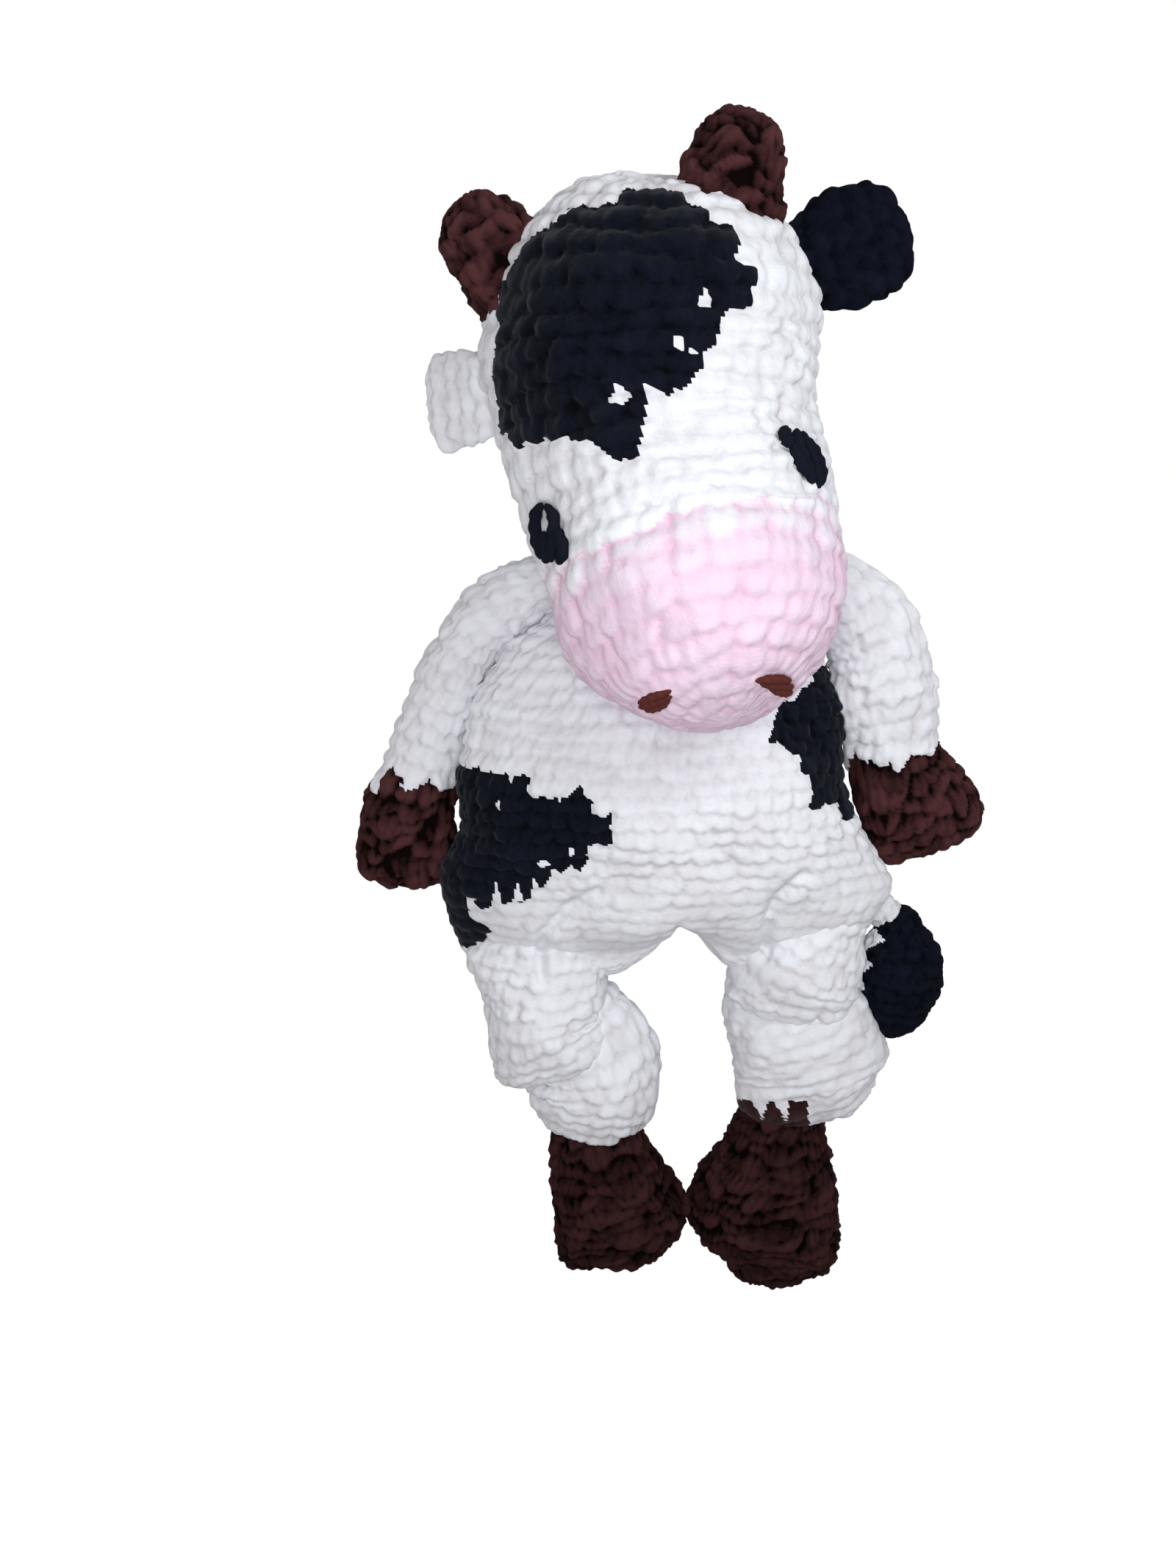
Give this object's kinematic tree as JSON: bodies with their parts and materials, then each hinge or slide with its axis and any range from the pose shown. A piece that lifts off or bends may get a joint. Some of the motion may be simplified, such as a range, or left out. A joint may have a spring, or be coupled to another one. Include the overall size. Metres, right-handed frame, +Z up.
{
  "type": "plush cow",
  "caption": "Crocheted chenille plush cow that lies on its back, with a wide stuffed head, a flat body, stuffed hooves, horns, ears and a tufted tail.",
  "frame": {"origin": "on the floor, in the flat of the back, on the line of the body", "axes": "+Y from the feet to the head, +Z up from the floor through the belly, +X to the toy's own left"},
  "size_m": [0.3307, 0.5907, 0.1671],
  "materials": {
    "white_chenille": "matte",
    "black_chenille": "matte",
    "pink_chenille": "matte",
    "brown_chenille": "matte",
    "black_yarn": "matte",
    "russet_yarn": "matte",
    "sewing_yarn": "matte",
    "fibrefill": "matte"
  },
  "bodies": {
    "body": {"body_shell": "white_chenille", "body_stuffing": "fibrefill", "shoulder_seam_right": "sewing_yarn", "shoulder_seam_left": "sewing_yarn"},
    "neck": {"neck_seam": "sewing_yarn"},
    "head": {"head_shell": "white_chenille", "muzzle_shell": "pink_chenille", "head_stuffing": "fibrefill", "eye_right": "black_yarn", "nostril_right": "russet_yarn", "horn_right": "brown_chenille", "horn_stuffing_right": "fibrefill", "eye_left": "black_yarn", "nostril_left": "russet_yarn", "horn_left": "brown_chenille", "horn_stuffing_left": "fibrefill"},
    "arm_right": {"arm_right": "white_chenille"},
    "hand_right": {"hand_hoof_right": "brown_chenille", "hand_stuffing_right": "fibrefill"},
    "thigh_right": {"thigh_right": "white_chenille"},
    "shin_right": {"shin_right": "white_chenille"},
    "foot_right": {"foot_hoof_right": "brown_chenille", "foot_stuffing_right": "fibrefill"},
    "ear_right": {"ear_right": "white_chenille"},
    "arm_left": {"arm_left": "white_chenille"},
    "hand_left": {"hand_hoof_left": "brown_chenille", "hand_stuffing_left": "fibrefill"},
    "thigh_left": {"thigh_left": "white_chenille"},
    "shin_left": {"shin_left": "white_chenille"},
    "foot_left": {"foot_hoof_left": "brown_chenille", "foot_stuffing_left": "fibrefill"},
    "ear_left": {"ear_left": "black_chenille"},
    "tail": {"tail_cord": "white_chenille"},
    "tuft": {"tail_tuft": "black_chenille"}
  },
  "joints": [
    {"name": "neck_turn", "type": "hinge", "parent": "body", "child": "neck", "pos_m": [0.00002, 0.11201, 0.013], "axis": [0, 0, 1], "range_deg": [-25, 25]},
    {"name": "neck_nod", "type": "hinge", "parent": "neck", "child": "head", "pos_m": [0.00002, 0.11201, 0.013], "axis": [-1, 0, 0], "range_deg": [0, 45]},
    {"name": "shoulder_right", "type": "hinge", "parent": "body", "child": "arm_right", "pos_m": [-0.074, 0.08401, 0.0175], "axis": [0, 0, 1], "range_deg": [-70, 0]},
    {"name": "wrist_right", "type": "hinge", "parent": "arm_right", "child": "hand_right", "pos_m": [-0.12831, -0.00819, 0.01851], "axis": [-0.9903, 0.1392, 0], "range_deg": [-35, 35]},
    {"name": "hip_right", "type": "hinge", "parent": "body", "child": "thigh_right", "pos_m": [-0.057, -0.11199, 0.0295], "axis": [-0.9903, -0.1392, 0], "range_deg": [0, 60]},
    {"name": "knee_right", "type": "hinge", "parent": "thigh_right", "child": "shin_right", "pos_m": [-0.05004, -0.1615, 0.02751], "axis": [-0.9659, -0.2588, 0], "range_deg": [-40, 40]},
    {"name": "ankle_right", "type": "hinge", "parent": "shin_right", "child": "foot_right", "pos_m": [-0.03607, -0.21366, 0.0235], "axis": [-0.9848, -0.1736, 0], "range_deg": [-35, 35]},
    {"name": "ear_flop_right", "type": "hinge", "parent": "head", "child": "ear_right", "pos_m": [-0.08373, 0.18153, 0.05951], "axis": [-0.0698, 0.9976, 0], "range_deg": [-25, 25]},
    {"name": "shoulder_left", "type": "hinge", "parent": "body", "child": "arm_left", "pos_m": [0.07802, 0.088, 0.0175], "axis": [0, 0, 1], "range_deg": [0, 70]},
    {"name": "wrist_left", "type": "hinge", "parent": "arm_left", "child": "hand_left", "pos_m": [0.12075, 0.00765, 0.01851], "axis": [-0.9336, -0.3584, 0], "range_deg": [-35, 35]},
    {"name": "hip_left", "type": "hinge", "parent": "body", "child": "thigh_left", "pos_m": [0.07398, -0.10992, 0.0295], "axis": [-0.9994, -0.0349, 0], "range_deg": [0, 60]},
    {"name": "knee_left", "type": "hinge", "parent": "thigh_left", "child": "shin_left", "pos_m": [0.07552, -0.1539, 0.02751], "axis": [-0.9976, -0.0698, 0], "range_deg": [-40, 40]},
    {"name": "ankle_left", "type": "hinge", "parent": "shin_left", "child": "foot_left", "pos_m": [0.07914, -0.20577, 0.0235], "axis": [-0.9976, 0.0698, 0], "range_deg": [-35, 35]},
    {"name": "ear_flop_left", "type": "hinge", "parent": "head", "child": "ear_left", "pos_m": [0.06113, 0.23568, 0.0665], "axis": [0.2756, -0.9613, 0], "range_deg": [-25, 25]},
    {"name": "tail_swing", "type": "hinge", "parent": "body", "child": "tail", "pos_m": [0.08605, -0.05999, 0.009], "axis": [0, 0, 1], "range_deg": [0, 20]},
    {"name": "tuft_swing", "type": "hinge", "parent": "tail", "child": "tuft", "pos_m": [0.13412, -0.09062, 0.0105], "axis": [0, 0, 1], "range_deg": [0, 30]}
  ]
}
